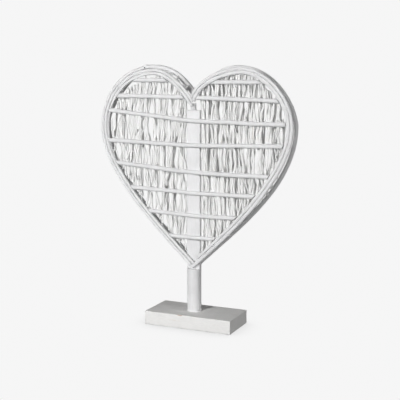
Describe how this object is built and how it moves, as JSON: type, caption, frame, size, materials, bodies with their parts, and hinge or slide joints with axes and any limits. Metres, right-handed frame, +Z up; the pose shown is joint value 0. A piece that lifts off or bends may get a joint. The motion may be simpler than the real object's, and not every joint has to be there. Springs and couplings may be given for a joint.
{
  "type": "heart ornament",
  "caption": "Heart-shaped ornament of white-painted upright twigs between cane hoops with cross sticks, on a round post with a rectangular block foot.",
  "frame": {"origin": "underside of the block foot, below the post, at the middle of the whole outline", "axes": "+Z up along the post, +X to the right across the heart, the front of the heart faces -Y"},
  "size_m": [0.4102, 0.089, 0.5128],
  "materials": {
    "painted_block": "matt white paint over a sawn wooden block",
    "painted_post": "matt white paint over a round wooden dowel",
    "painted_cane": "matt white paint over bent cane",
    "painted_stick": "matt white paint over straight sticks",
    "painted_twig": "matt white paint over rough natural twigs"
  },
  "bodies": {
    "root": {"base_block": "painted_block", "post": "painted_post", "post_stub": "painted_post", "front_hoop_left_outer": "painted_cane", "front_hoop_left_main": "painted_cane", "front_hoop_left_inner": "painted_cane", "front_hoop_right_outer": "painted_cane", "front_hoop_right_inner": "painted_cane", "back_hoop_left": "painted_cane", "back_hoop_right": "painted_cane", "stick_1_left": "painted_stick", "stick_1_right": "painted_stick", "stick_2_left": "painted_stick", "stick_2_right": "painted_stick", "stick_3": "painted_stick", "stick_4": "painted_stick", "stick_5": "painted_stick", "stick_6": "painted_stick", "stick_7": "painted_stick", "stick_8": "painted_stick", "twigs_left_front_1": "painted_twig", "twigs_left_front_2": "painted_twig", "twigs_left_front_3": "painted_twig", "twigs_left_front_4": "painted_twig", "twigs_left_front_5": "painted_twig", "twigs_left_front_6": "painted_twig", "twigs_left_front_7": "painted_twig", "twigs_left_front_8": "painted_twig", "twigs_left_front_9": "painted_twig", "twigs_left_back_1": "painted_twig", "twigs_left_back_2": "painted_twig", "twigs_left_back_3": "painted_twig", "twigs_left_back_4": "painted_twig", "twigs_left_back_5": "painted_twig", "twigs_left_back_6": "painted_twig", "twigs_left_back_7": "painted_twig", "twigs_left_back_8": "painted_twig", "twigs_right_front_1": "painted_twig", "twigs_right_front_2": "painted_twig", "twigs_right_front_3": "painted_twig", "twigs_right_front_4": "painted_twig", "twigs_right_front_5": "painted_twig", "twigs_right_front_6": "painted_twig", "twigs_right_front_7": "painted_twig", "twigs_right_front_8": "painted_twig", "twigs_right_front_9": "painted_twig", "twigs_right_back_1": "painted_twig", "twigs_right_back_2": "painted_twig", "twigs_right_back_3": "painted_twig", "twigs_right_back_4": "painted_twig", "twigs_right_back_5": "painted_twig", "twigs_right_back_6": "painted_twig", "twigs_right_back_7": "painted_twig", "twigs_right_back_8": "painted_twig"}
  },
  "joints": []
}
